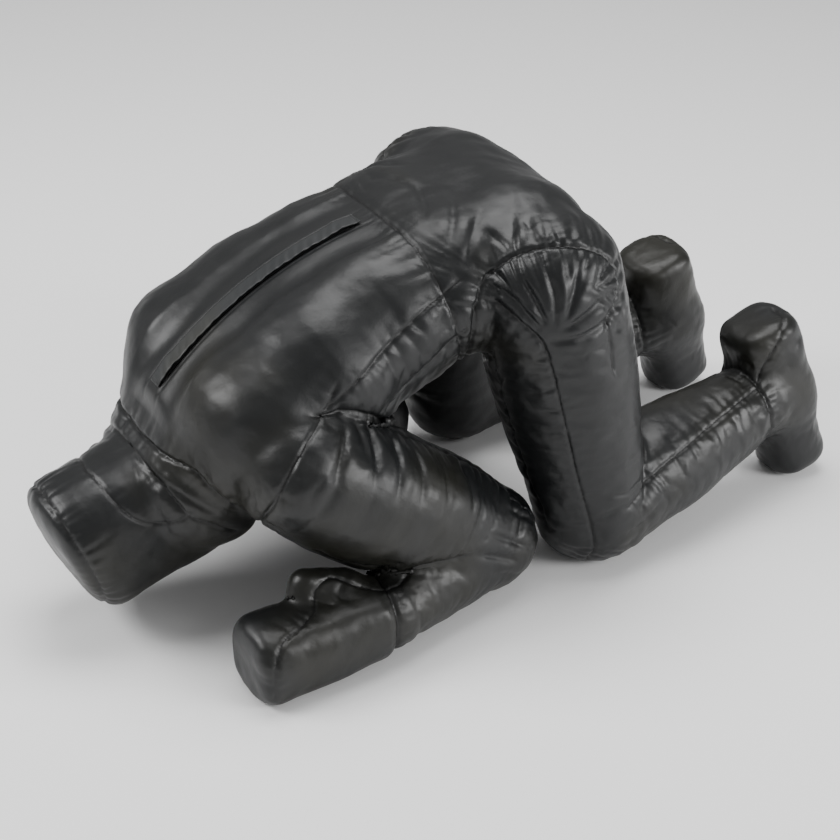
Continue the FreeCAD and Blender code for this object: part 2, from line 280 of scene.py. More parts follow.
def add_hull(whole, *balls):
    """Adds the rounded hull of some balls (centre, radius) to a mesh under construction."""
    part = bmesh.new()
    for centre, radius in balls:
        for point in ball_points(centre, radius):
            part.verts.new(point)
    bmesh.ops.convex_hull(part, input=part.verts)
    loose = [v for v in part.verts if not v.link_faces]
    bmesh.ops.delete(part, geom=loose, context="VERTS")
    mesh = bpy.data.meshes.new("hull")
    part.to_mesh(mesh)
    part.free()
    whole.from_mesh(mesh)
    bpy.data.meshes.remove(mesh)


def add_chain(whole, *balls):
    for first, second in zip(balls, balls[1:]):
        add_hull(whole, first, second)


def rough_body():
    """Overlapping hulls that fill the body, as one voxel mesh."""
    bm = bmesh.new()
    for pair in zip(TRUNK, TRUNK[1:]):
        add_hull(bm, *[((x * w, y, z), r) for y, z, w, r in pair for x in (-1, 1)])
    add_chain(bm, (NECK, 0.095), (NECK + HEAD_LINE * 0.11, 0.1))
    for _, sign in SIDES:
        flip = np.array([sign, 1, 1])
        add_chain(bm, (SHOULDER * flip, R_SHOULDER), (ELBOW * flip, R_ELBOW))
        add_chain(bm, (ELBOW * flip, R_FOREARM), (WRIST * flip, R_WRIST), (FIST * flip, 0.055))
        add_chain(bm, (THUMB[0] * flip, R_THUMB_ROOT), (THUMB[1] * flip, R_THUMB_TIP))
        add_chain(bm, (HIP * flip, R_HIP), (KNEE * flip, R_KNEE))
        add_chain(bm, (KNEE * flip, R_CALF), (ANKLE * flip, R_ANKLE), (HEEL * flip, 0.06),
                  (TOE * flip, 0.053))
    mesh = bpy.data.meshes.new("body")
    bm.to_mesh(mesh)
    bm.free()
    obj = link(bpy.data.objects.new("body", mesh))
    remesh = obj.modifiers.new("remesh", "REMESH")
    remesh.mode = "VOXEL"
    remesh.voxel_size = VOXEL
    baked(obj)
    return obj


def ease(x):
    """0 to 1 with a soft start and end."""
    x = np.clip(x, 0, 1)
    return x * x * (3 - 2 * x)


# ---- seams: each is a smooth line through a few points of the skin, on the left-hand side
PUCKER = 0.016  # usual distance between two pleats


def spline(points, count=90):
    """Evenly spread samples of a Catmull-Rom curve through the points."""
    points = np.array(points, float)
    padded = np.vstack([2 * points[0] - points[1], points, 2 * points[-1] - points[-2]])
    samples = []
    for a, b, c, d in zip(padded, padded[1:], padded[2:], padded[3:]):
        for t in np.linspace(0, 1, 24, endpoint=False):
            samples.append(0.5 * (2 * b + (c - a) * t + (2 * a - 5 * b + 4 * c - d) * t ** 2
                                  + (3 * b - a - 3 * c + d) * t ** 3))
    samples.append(points[-1])
    samples = np.array(samples)
    length = np.concatenate([[0], np.cumsum(np.linalg.norm(np.diff(samples, axis=0), axis=1))])
    even = np.linspace(0, length[-1], count)
    return np.stack([np.interp(even, length, samples[:, i]) for i in range(3)], 1)


def ring(centre, normal, radius, steps=16):
    """Points round an axis; the skin is reached later, from any radius near it."""
    normal = unit(normal)
    up = np.array([0, 0, 1.0])
    first = unit(up - normal * np.dot(up, normal))
    second = np.cross(normal, first)
    angles = np.radians(np.linspace(0.0, 360.0, steps))
    return [np.array(centre) + radius * (math.cos(a) * first + math.sin(a) * second) for a in angles]


def pitched(degrees):
    """Direction towards the feet, raised by an angle."""
    return np.array([0, math.cos(math.radians(degrees)), math.sin(math.radians(degrees))])


SHIN_LINE = unit(ANKLE - KNEE)
WAIST_POINT = np.array([0, -0.055, 0.500])
WAIST_NORMAL = pitched(18)
NECK_NORMAL = pitched(38)
ARMHOLE_NORMAL = unit([0.234, 0.750, -0.619])
WRIST_POINT = WRIST + np.array([0, -0.018, 0])
ANKLE_POINT = ANKLE - SHIN_LINE * 0.012
SIDE_SEAM_UP = np.array([0, -math.sin(math.radians(29)), math.cos(math.radians(29))])
SIDE_SEAM_HEIGHT = 0.471


class Seam:
    """A sewn line: groove depth, pleats on either side (height, reach) and their distance.

    A seam is on both halves of the body, unless it runs round the middle of it.
    """

    def __init__(self, points, groove=0.0022, left=(0, 0.03), right=(0, 0.03), pleat=PUCKER, both=True):
        self.points = points
        self.groove = groove
        self.sides = (left, right)
        self.pleat = pleat
        self.both = both


SEAMS = {
    # head
    "crown": Seam(ring(NECK + HEAD_LINE * 0.187, HEAD_LINE, 0.1), 0.0028, (0.0040, 0.034), (0.0022, 0.020),
                  0.0125, both=False),
    "neck": Seam([
        (0.0, -0.480, 0.298), (0.040, -0.478, 0.300), (0.076, -0.474, 0.300), (0.130, -0.452, 0.292),
        (0.150, -0.437, 0.270), (0.160, -0.403, 0.234),
    ], 0.0036, (0.0018, 0.035), (0.0026, 0.030), 0.021),
    "nape": Seam([
        (0.0, -0.562, 0.262), (0.036, -0.557, 0.258), (0.074, -0.545, 0.238), (0.092, -0.523, 0.213),
        (0.101, -0.496, 0.200), (0.120, -0.476, 0.208), (0.134, -0.463, 0.220),
    ], 0.0022, (0.0012, 0.022), (0.0010, 0.022)),
    "collar": Seam([
        (0.0, -0.493, 0.284), (0.054, -0.493, 0.279), (0.107, -0.483, 0.258), (0.134, -0.463, 0.222),
        (0.144, -0.430, 0.204), (0.144, -0.403, 0.186),
    ], 0.0020, (0.0014, 0.024), (0.0010, 0.020)),
    # torso
    "side": Seam([
        (0.180, -0.055, 0.508), (0.190, -0.110, 0.484), (0.203, -0.170, 0.452), (0.214, -0.235, 0.415),
        (0.215, -0.285, 0.384),
    ], 0.0026, (0.0006, 0.030), (0.0030, 0.036), 0.018),
    "belly": Seam([
        (0.192, -0.045, 0.440), (0.192, -0.090, 0.410), (0.190, -0.130, 0.382), (0.200, -0.175, 0.355),
    ], 0.0024, (0.0026, 0.030), (0.002, 0.03), 0.017),
    "armhole": Seam([
        (0.190, -0.262, 0.402), (0.223, -0.288, 0.384), (0.254, -0.332, 0.364), (0.266, -0.366, 0.330),
        (0.260, -0.386, 0.290), (0.232, -0.393, 0.250), (0.190, -0.378, 0.215),
    ], 0.0030, (0.0016, 0.03), (0.0022, 0.045), 0.021),
    "armpit": Seam([
        (0.223, -0.288, 0.384), (0.220, -0.245, 0.375), (0.205, -0.195, 0.345), (0.160, -0.150, 0.300),
    ], 0.0050, (0.0010, 0.03), (0.0030, 0.045), 0.020),
    "waist": Seam(ring(WAIST_POINT - np.array([0, 0, 0.04]), WAIST_NORMAL, 0.15, steps=32), 0.0028,
                  (0.0030, 0.055), (0.0010, 0.030), 0.024, both=False),
    # hip and thigh
    "hip": Seam([
        (0.190, -0.030, 0.470), (0.188, -0.012, 0.508), (0.196, 0.020, 0.536), (0.214, 0.055, 0.552),
        (0.232, 0.095, 0.556), (0.242, 0.135, 0.546), (0.247, 0.168, 0.520), (0.256, 0.172, 0.480),
        (0.274, 0.145, 0.440),
    ], 0.0034, (0.0066, 0.085), (0.0056, 0.075), 0.019),
    "thigh_front": Seam([
        (0.215, 0.002, 0.475), (0.240, 0.022, 0.455), (0.258, 0.050, 0.415), (0.270, 0.074, 0.317),
        (0.278, 0.099, 0.206), (0.283, 0.135, 0.070), (0.270, 0.135, 0.020),
    ], 0.0026, (0.0034, 0.055), (0.0020, 0.030), 0.017),
    "thigh_back": Seam([
        (0.274, 0.145, 0.440), (0.279, 0.152, 0.372),
    ], 0.0020, (0.0010, 0.02), (0.0010, 0.02)),
    "groin": Seam([
        (0.190, -0.030, 0.470), (0.170, -0.030, 0.430), (0.140, -0.020, 0.385), (0.110, 0.010, 0.360),
    ], 0.0040, (0.0030, 0.035), (0.0026, 0.035), 0.018),
    # shin and foot
    "shin": Seam([
        (0.284, 0.190, 0.125), (0.272, 0.250, 0.150), (0.249, 0.350, 0.178), (0.212, 0.484, 0.206),
    ], 0.0022, (0.0026, 0.050), (0.0022, 0.035), 0.017),
    "ankle": Seam(ring(ANKLE_POINT, SHIN_LINE, 0.065), 0.0036, (0.0030, 0.034), (0.0032, 0.045), 0.015),
    "foot": Seam([
        (0.206, 0.492, 0.214), (0.197, 0.520, 0.255), (0.180, 0.552, 0.292), (0.148, 0.560, 0.300),
    ], 0.0022, (0.0014, 0.022), (0.0018, 0.026), 0.014),
    "sole": Seam([
        (0.150, 0.600, 0.240), (0.150, 0.628, 0.180), (0.155, 0.650, 0.080), (0.160, 0.640, 0.040),
    ], 0.0020, (0.0012, 0.02), (0.0012, 0.02), 0.016),
    # arm and hand
    "arm_top": Seam([
        (0.222, -0.250, 0.372), (0.212, -0.200, 0.343), (0.205, -0.140, 0.312), (0.203, -0.080, 0.268),
        (0.207, -0.020, 0.205), (0.215, 0.030, 0.150), (0.225, 0.055, 0.090),
    ], 0.0024, (0.0046, 0.085), (0.0020, 0.03), 0.020),
    "forearm_top": Seam([
        (0.297, -0.230, 0.120), (0.297, -0.190, 0.128), (0.295, -0.140, 0.130), (0.290, -0.100, 0.128),
    ], 0.0022, (0.0008, 0.02), (0.0022, 0.026), 0.018),
    "wrist": Seam(ring(WRIST_POINT, (0, 1, 0), 0.06), 0.0034, (0.0012, 0.02), (0.0014, 0.022), 0.015),
    "hand": Seam([
        (0.296, -0.232, 0.121), (0.278, -0.270, 0.124), (0.262, -0.300, 0.140), (0.270, -0.328, 0.136),
        (0.294, -0.348, 0.120), (0.312, -0.376, 0.114), (0.326, -0.410, 0.106), (0.338, -0.428, 0.082),
        (0.336, -0.430, 0.035),
    ], 0.0026, (0.0024, 0.026), (0.0016, 0.024), 0.014),
}


def pleats(along, away, height, reach, spacing, length, random):
    """Height of irregular pleats that run away from a seam: sharp valleys between rounded crests."""
    total = np.zeros(len(along))
    place = random.uniform(0, spacing)
    while place < length:
        deep = height * random.uniform(0.35, 1.0)
        far = reach * random.uniform(0.45, 1.15)
        slant = random.uniform(-0.22, 0.22)
        wide = spacing * random.uniform(0.22, 0.36)
        x = (along - place - slant * away) / (wide * (1 + 0.6 * away / reach))
        fade = np.exp(-(away / far) ** 1.6)
        total -= deep * fade * (1.35 * np.exp(-np.abs(x) ** 1.5) - 0.35 * np.exp(-(x / 2.1) ** 2))
        place += spacing * random.uniform(0.65, 1.4)
    return total


def neighbour_mean(values, edges, count, rounds):
    """Smooths values over the mesh by averaging along its edges."""
    degree = np.bincount(edges.ravel(), minlength=count).astype(float)
    for _ in range(rounds):
        total = np.bincount(edges[:, 0], values[edges[:, 1]], count)
        total += np.bincount(edges[:, 1], values[edges[:, 0]], count)
        values = 0.5 * values + 0.5 * total / degree
    return values


def mesh_edges(mesh):
    edges = np.empty(len(mesh.edges) * 2, np.int32)
    mesh.edges.foreach_get("vertices", edges)
    return edges.reshape(-1, 2)


def seam_frame(p, normals, samples, limit):
    """Nearest sample of a seam for the points within the limit: index, place along it and signed distance."""
    low = samples.min(0) - limit
    high = samples.max(0) + limit
    near = np.where(((p > low) & (p < high)).all(1))[0]
    best = np.full(len(near), 9.0)
    which = np.zeros(len(near), int)
    for i in range(0, len(samples), 8):
        block = samples[i:i + 8]
        d = np.linalg.norm(p[near][:, None] - block[None], axis=2)
        j = d.argmin(1)
        closest = d[np.arange(len(near)), j]
        better = closest < best
        best[better] = closest[better]
        which[better] = i + j[better]
    keep = best < limit
    near = near[keep]
    which = which[keep]
    tangent = np.gradient(samples, axis=0)
    tangent /= np.linalg.norm(tangent, axis=1)[:, None]
    step = np.linalg.norm(samples[1] - samples[0])
    offset = p[near] - samples[which]
    t = tangent[which]
    along = which * step + (offset * t).sum(1)
    across = np.cross(t, normals[near])
    across /= np.linalg.norm(across, axis=1)[:, None] + 1e-9
    away = (offset * across).sum(1)
    end = np.maximum(np.maximum(-along, along - step * (len(samples) - 1)), 0)
    return near, along, away, across, end, step * (len(samples) - 1)


SNAP = 0.0022  # mesh points this near a seam move onto it
GROOVE_HALF = 0.0030
VALLEY_HALF = 0.011  # the soft valley that the groove lies in
SEAM_SHADE_HALF = 0.0019  # half width of the seam's line of painted shade
SEAM_END = 0.012  # length over which a seam fades out past its end
FLAT_BESIDE_SEAM = 0.005
HIGHEST_FOLD = 0.0075


def dress(p, normals, edges, painted_groove_shade):
    """Adds seams, their pleats and the big folds to points of the skin."""
    lift = np.zeros(len(p))
    sewn = np.zeros(len(p))
    slide = np.zeros_like(p)
    for number, seam in enumerate(SEAMS.values()):
        for sign in ((1.0, -1.0) if seam.both else (1.0,)):
            random = np.random.default_rng(100 + number * 2 + (sign < 0))
            samples = settle(spline(seam.points), 8) * np.array([sign, 1, 1])
            limit = max(0.02, 1.9 * max(side[1] for side in seam.sides))
            near, along, away, across, end, length = seam_frame(p, normals, samples, limit)
            fade = np.exp(-(end / SEAM_END) ** 2)
            turned = away * sign
            snap = np.exp(-(away / SNAP) ** 2) * fade
            slide[near] -= across * (away * snap * 0.85)[:, None]
            groove = np.exp(-(away / GROOVE_HALF) ** 2)
            valley = np.exp(-(away / VALLEY_HALF) ** 2)
            sewn[near] = np.minimum(sewn[near], -seam.groove * fade * (1.25 * groove + 0.30 * valley))
            # painted shade: a thin dark line along each seam's groove, for the colour
            painted_groove_shade[near] = np.maximum(painted_groove_shade[near], fade * np.exp(-(away / SEAM_SHADE_HALF) ** 2))
            for side, (height, reach) in zip((1, -1), seam.sides):
                if height:
                    half = np.where(turned * side >= 0)[0]
                    rows = pleats(along[half], np.abs(away[half]), height, reach, seam.pleat, length, random)
                    sewn_flat = 1 - 0.6 * np.exp(-(away[half] / FLAT_BESIDE_SEAM) ** 2)
                    lift[near[half]] += rows * fade[half] * sewn_flat
    for crease, depth, width in FOLDS:
        for sign in (1.0, -1.0):
            samples = settle(spline(crease), 8) * np.array([sign, 1, 1])
            near, along, away, across, end, length = seam_frame(p, normals, samples, 3.2 * width)
            taper = np.clip(np.minimum(along, length - along) / (0.35 * length), 0, 1)
            taper = taper * taper * (3 - 2 * taper)
            x = away / width
            crests = 0.55 * np.exp(-(x / 1.7) ** 2)
            valley = 1.45 * np.exp(-np.abs(x * 1.6) ** 1.4)
            lift[near] += depth * taper * (crests - valley)
    lift = neighbour_mean(HIGHEST_FOLD * np.tanh(lift / HIGHEST_FOLD), edges, len(p), 2)
    return p + slide + normals * (lift + sewn)[:, None]


FOLDS = [  # points of the crease, depth, half width
    # hip: folds that run together at the front of the thigh
    ([(0.262, 0.050, 0.440), (0.236, 0.020, 0.480), (0.205, -0.005, 0.510)], 0.0060, 0.010),
    ([(0.264, 0.055, 0.445), (0.245, 0.040, 0.490), (0.222, 0.025, 0.525)], 0.0065, 0.010),
    ([(0.266, 0.062, 0.447), (0.255, 0.065, 0.495), (0.236, 0.062, 0.535)], 0.0060, 0.010),
    ([(0.268, 0.070, 0.448), (0.264, 0.090, 0.495), (0.250, 0.105, 0.535)], 0.0055, 0.010),
    ([(0.268, 0.062, 0.442), (0.274, 0.110, 0.465), (0.268, 0.150, 0.490)], 0.0060, 0.011),
    ([(0.262, 0.045, 0.430), (0.276, 0.100, 0.432), (0.276, 0.160, 0.452), (0.262, 0.205, 0.470)],
     0.0055, 0.010),
    ([(0.225, 0.010, 0.500), (0.200, -0.015, 0.535), (0.170, -0.030, 0.555)], 0.0035, 0.010),
    ([(0.200, 0.020, 0.545), (0.180, 0.015, 0.570), (0.150, 0.010, 0.580)], 0.0030, 0.010),
    # waist: long soft folds on the seat side
    ([(0.178, -0.040, 0.520), (0.150, -0.010, 0.560), (0.110, 0.030, 0.585)], 0.0040, 0.012),
    ([(0.150, -0.050, 0.545), (0.115, -0.020, 0.570), (0.060, 0.010, 0.580)], 0.0034, 0.012),
    ([(0.100, -0.055, 0.560), (0.050, -0.030, 0.570), (-0.02, -0.010, 0.575)], 0.0026, 0.012),
    # upper arm: folds that slant down from its top seam
    ([(0.215, -0.215, 0.352), (0.250, -0.225, 0.320), (0.275, -0.250, 0.280)], 0.0050, 0.010),
    ([(0.212, -0.180, 0.335), (0.250, -0.190, 0.300), (0.285, -0.220, 0.250)], 0.0048, 0.010),
    ([(0.210, -0.145, 0.312), (0.252, -0.155, 0.280), (0.285, -0.185, 0.225)], 0.0042, 0.010),
    ([(0.208, -0.105, 0.285), (0.250, -0.115, 0.255), (0.280, -0.145, 0.205)], 0.0038, 0.010),
    ([(0.210, -0.060, 0.250), (0.250, -0.070, 0.220), (0.282, -0.095, 0.175)], 0.0032, 0.010),
    ([(0.215, -0.250, 0.372), (0.245, -0.275, 0.340), (0.262, -0.315, 0.300)], 0.0040, 0.011),
    # elbow: wrinkles round its back and inner side
    ([(0.285, -0.090, 0.128), (0.289, -0.035, 0.100), (0.270, 0.010, 0.070)], 0.0050, 0.009),
    ([(0.283, -0.060, 0.150), (0.282, -0.015, 0.120), (0.262, 0.030, 0.080)], 0.0038, 0.009),
    ([(0.285, -0.060, 0.080), (0.278, -0.015, 0.060), (0.262, 0.020, 0.035)], 0.0034, 0.009),
    ([(0.255, -0.010, 0.165), (0.250, 0.030, 0.130), (0.230, 0.055, 0.090)], 0.0030, 0.009),
    # knee: deep crease behind it and wrinkles beside it
    ([(0.215, 0.230, 0.190), (0.262, 0.238, 0.170), (0.285, 0.225, 0.130), (0.290, 0.195, 0.100)],
     0.0060, 0.011),
    ([(0.283, 0.140, 0.160), (0.290, 0.185, 0.150), (0.283, 0.230, 0.160)], 0.0036, 0.009),
    ([(0.290, 0.170, 0.080), (0.288, 0.215, 0.085), (0.275, 0.260, 0.110)], 0.0034, 0.009),
    ([(0.289, 0.150, 0.055), (0.280, 0.200, 0.035), (0.262, 0.240, 0.040)], 0.0030, 0.009),
    # neck and collar
    ([(0.045, -0.500, 0.275), (0.085, -0.475, 0.255), (0.115, -0.440, 0.220)], 0.0040, 0.010),
    ([(0.080, -0.485, 0.270), (0.115, -0.450, 0.245), (0.140, -0.410, 0.215)], 0.0036, 0.010),
    # hand
    ([(0.262, -0.290, 0.130), (0.285, -0.300, 0.118), (0.300, -0.285, 0.112)], 0.0034, 0.008),
    ([(0.268, -0.345, 0.125), (0.285, -0.325, 0.122), (0.300, -0.310, 0.112)], 0.0030, 0.008),
]


def waves(p, size, seed, count=20):
    """Smooth irregular field of about unit height."""
    random = np.random.default_rng(seed)
    total = np.zeros(len(p))
    for _ in range(count):
        direction = unit(random.normal(size=3)) / (size * random.uniform(0.7, 1.5))
        total += np.sin(p @ direction * 2 * math.pi + random.uniform(0, 2 * math.pi))
    return total / math.sqrt(count / 2)


# ---- zipper and flap: an arc of this radius down the back
ZIP_MIDDLE = np.array([0, -0.295, 0.486])
ZIP_PITCH = 29.0
ZIP_RADIUS = 0.610
ZIP_SPAN = 33.5
FLAP_SPAN = 36.0
ZIP_UP = np.array([0, -math.sin(math.radians(ZIP_PITCH)), math.cos(math.radians(ZIP_PITCH))])
ZIP_ALONG = pitched(ZIP_PITCH)
ZIP_CENTRE = ZIP_MIDDLE - ZIP_UP * ZIP_RADIUS
BED_HALF = 0.0150  # half the width of the zipper's bed
BED_DEPTH = 0.0038
WELTS = ((0.0185, 0.0016, 1.0), (0.0225, 0.0012, 0.7))  # from the middle, half width, share of the depth
WELT_DEPTH = 0.0012


def on_arc(p):
    """Arc angle in degrees from the zipper's middle, and distance from the arc's centre."""
    q = p - ZIP_CENTRE
    radius = np.hypot(q @ ZIP_UP, q @ ZIP_ALONG)
    return np.degrees(np.arctan2(q @ ZIP_ALONG, q @ ZIP_UP)), radius


def bed_zipper(p, painted_groove_shade):
    """Lays the back along the flap's arc and sinks a narrow bed for the zipper."""
    angle, radius = on_arc(p)
    x = np.abs(p[:, 0])
    reach = ease((FLAP_SPAN / 2 + 4 - np.abs(angle)) / 4) * ease((0.085 - x) / 0.055) * (radius > 0.5)
    target = ZIP_RADIUS - 0.0005 - 0.25 * np.maximum(x - 0.015, 0) ** 2 / 0.05
    bed = ease((ZIP_SPAN / 2 + 0.4 - np.abs(angle)) / 0.5) * ease((BED_HALF - x) / 0.0030)
    welt = sum(share * np.exp(-((x - middle) / half) ** 2) for middle, half, share in WELTS)
    target = target - BED_DEPTH * bed - WELT_DEPTH * welt
    away = p - ZIP_CENTRE
    away[:, 0] = 0
    away /= np.linalg.norm(away, axis=1)[:, None]
    # no painted seam shade inside the zipper's bed
    painted_groove_shade[reach * bed > 0.5] = 0
    return p + away * ((target - radius) * reach)[:, None]


# ---- cloth simulation: a cover cut a little too large, held at its seams and blown up by its filling
CLOTH_FRAMES = 12
CLOTH_CAP = 0.0045  # farthest that a point may move from the filled shape
WRINKLES = 0.50  # share of the simulated wrinkles that stays
TIGHT_WRINKLES = 0.16  # the same on the back, the seat, the head and the hands, which are stuffed tight


def seam_hold(p, normals):
    """How firmly each point is held: 1 on a seam and on the floor, 0 away from them."""
    hold = np.zeros(len(p))
    for seam in SEAMS.values():
        for sign in ((1.0, -1.0) if seam.both else (1.0,)):
            samples = settle(spline(seam.points), 8) * np.array([sign, 1, 1])
            near, _, away, _, end, _ = seam_frame(p, normals, samples, 0.02)
            hold[near] = np.maximum(hold[near], np.exp(-(away / 0.004) ** 2 - (end / 0.010) ** 2))
    hold[p[:, 2] < 0.004] = 1
    return hold


def looseness(p):
    """1 where the cover lies loose, on the limbs and the flanks, and 0 where it is stuffed tight."""
    q = np.abs(p) * np.array([1, 0, 0]) + p * np.array([0, 1, 1])
    flank = ease((SIDE_SEAM_HEIGHT - q @ SIDE_SEAM_UP) / 0.03 + 0.5)
    hip = ease(1.6 - np.linalg.norm(q - HIP - np.array([0.05, -0.04, 0.03]), axis=1) / 0.10)
    head = ease((NECK - q) @ NECK_NORMAL / 0.04)
    hand = ease((WRIST_POINT[1] - q[:, 1]) / 0.03) * ease((0.17 - q[:, 2]) / 0.03)
    return np.maximum(flank, hip) * (1 - head) * (1 - hand)


def crumple_cover(obj):
    """Runs the cloth and keeps its wrinkles, without its general swelling."""
    before = coordinates(obj.data)
    normals = vertex_normals(obj.data)
    hold = seam_hold(before, normals)
    edges = mesh_edges(obj.data)
    group = obj.vertex_groups.new(name="held")
    for step in range(1, 11):
        chosen = np.where(np.round(hold * 10) == step)[0]
        group.add(chosen.tolist(), step / 10, "REPLACE")
    cloth = obj.modifiers.new("cloth", "CLOTH")
    settings = cloth.settings
    settings.quality = 4
    settings.mass = 0.3
    settings.tension_stiffness = 20
    settings.compression_stiffness = 8
    settings.shear_stiffness = 8
    settings.bending_stiffness = 0.02
    settings.use_pressure = True
    settings.uniform_pressure_force = 4
    settings.vertex_group_mass = group.name
    settings.shrink_min = -0.05
    settings.effector_weights.gravity = 0
    cloth.collision_settings.use_collision = False
    for moment in range(1, CLOTH_FRAMES + 1):
        bpy.context.scene.frame_set(moment)
    after = coordinates(baked(obj))
    bpy.context.scene.frame_set(1)
    moved = ((after - before) * normals).sum(1)
    swelling = neighbour_mean(moved, edges, len(moved), 60)
    wrinkles = CLOTH_CAP * np.tanh((moved - swelling) / CLOTH_CAP)
    share = TIGHT_WRINKLES + (WRINKLES - TIGHT_WRINKLES) * looseness(before)
    move_vertices(obj.data, before + normals * (wrinkles * share)[:, None])


# ---- the body's skin, whole
FAR_SHOULDER = np.array([-0.200, -0.405, 0.300])  # the right shoulder is pulled in a little
FAR_SHOULDER_REACH = 0.065
FAR_SHOULDER_DEPTH = 0.013
FAR_FIST_FLATTER = 0.15  # the right fist is pressed flatter by this share of its height
UNEVEN = ((0.0015, 0.15, 1), (0.00028, 0.036, 2))  # lumps of the filling: height, size, seed
body = rough_body()
move_vertices(body.data, settle(coordinates(body.data)))
crumple_cover(body)
subdivision = body.modifiers.new("finer", "SUBSURF")
subdivision.levels = 1
mesh = baked(body)
skin = coordinates(mesh)
move_vertices(mesh, skin)
normals = vertex_normals(mesh)
# painted shade along the seams, darkening the colour of their grooves
painted_groove_shade = np.zeros(len(skin))
settled = skin
skin = skin + normals * sum(height * waves(skin, size, seed) for height, size, seed in UNEVEN)[:, None]
far_shoulder = np.exp(-(np.linalg.norm(skin - FAR_SHOULDER, axis=1) / FAR_SHOULDER_REACH) ** 2)
skin = skin - normals * (FAR_SHOULDER_DEPTH * far_shoulder)[:, None]
skin = dress(skin, normals, mesh_edges(mesh), painted_groove_shade)
skin = bed_zipper(skin, painted_groove_shade)
far_fist = ease((-0.19 - skin[:, 0]) / 0.03) * ease((-0.25 - skin[:, 1]) / 0.12)
far_fist = far_fist * ease((0.19 - skin[:, 2]) / 0.03)
skin[:, 2] *= 1 - FAR_FIST_FLATTER * far_fist
skin[:, 2] = np.maximum(skin[:, 2], FLOOR_GAP)
move_vertices(mesh, skin)
normals = vertex_normals(mesh)


# ---- which body each point of the skin belongs to
def label_points(p):
    """Index of the skin piece for each point."""
    fields = section_fields(p)
    nearest = fields.argmin(1)
    labels = np.empty(len(p), int)
    names = []

    def index(name):
        if name not in names:
            names.append(name)
        return names.index(name)

    central = nearest <= 1
    labels[:] = index("torso")
    labels[central & ((p - WAIST_POINT) @ WAIST_NORMAL > 0)] = index("pelvis")
    labels[central & ((p - NECK) @ NECK_NORMAL < 0)] = index("head")
    for side, sign in SIDES:
        flip = np.array([sign, 1, 1])
        q = p * flip

        def chain(*sections):
            return np.isin(nearest, [SECTIONS.index(section + "_" + side) for section in sections])

        arm = chain("upper_arm", "forearm", "hand") & ((q - SHOULDER) @ ARMHOLE_NORMAL > -0.050)
        labels[arm] = index("upper_arm_" + side)
        fold = (q - ELBOW) @ ELBOW_SPLIT
        labels[arm & (fold > ELBOW_START)] = index("forearm_" + side)
        labels[chain("forearm", "hand") & (q[:, 1] < WRIST_POINT[1])] = index("hand_" + side)
        leg = chain("thigh", "shin", "foot")
        labels[leg] = index("thigh_" + side)
        labels[leg & ((q - KNEE) @ KNEE_SPLIT > KNEE_START)] = index("shin_" + side)
        labels[leg & ((q - ANKLE_POINT) @ SHIN_LINE > 0)] = index("foot_" + side)
    return labels, names


ELBOW_SPLIT = unit(unit(WRIST - ELBOW) - unit(SHOULDER - ELBOW))
ELBOW_START = -0.010
KNEE_SPLIT = unit(unit(ANKLE - KNEE) - unit(HIP - KNEE))
KNEE_START = -0.035
HIP_SLAB = unit([0.5, 0, -0.87])
SHOULDER_SLAB = unit([0.45, 0.65, -0.60])
labels, PIECES = label_points(settled)


def piece_mesh(name, faces, points, point_normals, painted_groove_shade):
    """Part of the skin as its own mesh, with the whole skin's shading along its edge."""
    used, small = np.unique(faces, return_inverse=True)
    small = small.reshape(faces.shape)
    mesh = bpy.data.meshes.new(name)
    mesh.vertices.add(len(used))
    mesh.vertices.foreach_set("co", points[used].astype(np.float32).ravel())
    mesh.loops.add(small.size)
    mesh.loops.foreach_set("vertex_index", small.astype(np.int32).ravel())
    mesh.polygons.add(len(small))
    mesh.polygons.foreach_set("loop_start", np.arange(0, small.size, 4, dtype=np.int32))
    mesh.update(calc_edges=True)
    mesh.polygons.foreach_set("use_smooth", np.ones(len(small), bool))
    mesh.normals_split_custom_set_from_vertices([tuple(n) for n in point_normals[used]])
    # the painted seam shade goes to the "seam" attribute, which darkens the leather's colour
    seam = mesh.attributes.new("seam", "FLOAT", "POINT")
    seam.data.foreach_set("value", painted_groove_shade[used].astype(np.float32))
    return link(bpy.data.objects.new(name, mesh))


faces = np.empty(len(mesh.loops), np.int32)
mesh.loops.foreach_get("vertex_index", faces)
faces = faces.reshape(-1, 4)
corner_labels = labels[faces]
face_labels = np.where(corner_labels[:, 0] == corner_labels[:, 1], corner_labels[:, 0], corner_labels[:, 2])

COVERS = {
    "torso": ["torso_filling", "back_panel_left", "back_panel_right", "side_panel_left", "side_panel_right",
              "belly_panel"],
    "pelvis": ["pelvis_filling", "seat_panel", "crotch_panel"],
    "head": ["head_filling", "crown_panel", "neck_collar", "nape_panel", "face_panel"],
}
LIMB_PANELS = {
    "upper_arm": ("outer_panel", "inner_panel"),
    "forearm": ("upper_panel", "lower_panel"),
    "hand": ("back_panel", "palm_panel"),
    "thigh": ("outer_panel", "inner_panel"),
    "shin": ("outer_panel", "inner_panel"),
    "foot": ("upper", "sole"),
}
for limb, panels in LIMB_PANELS.items():
    for side, _ in SIDES:
        COVERS[limb + "_" + side] = [f"{limb}_{part}_{side}" for part in ("filling",) + panels]


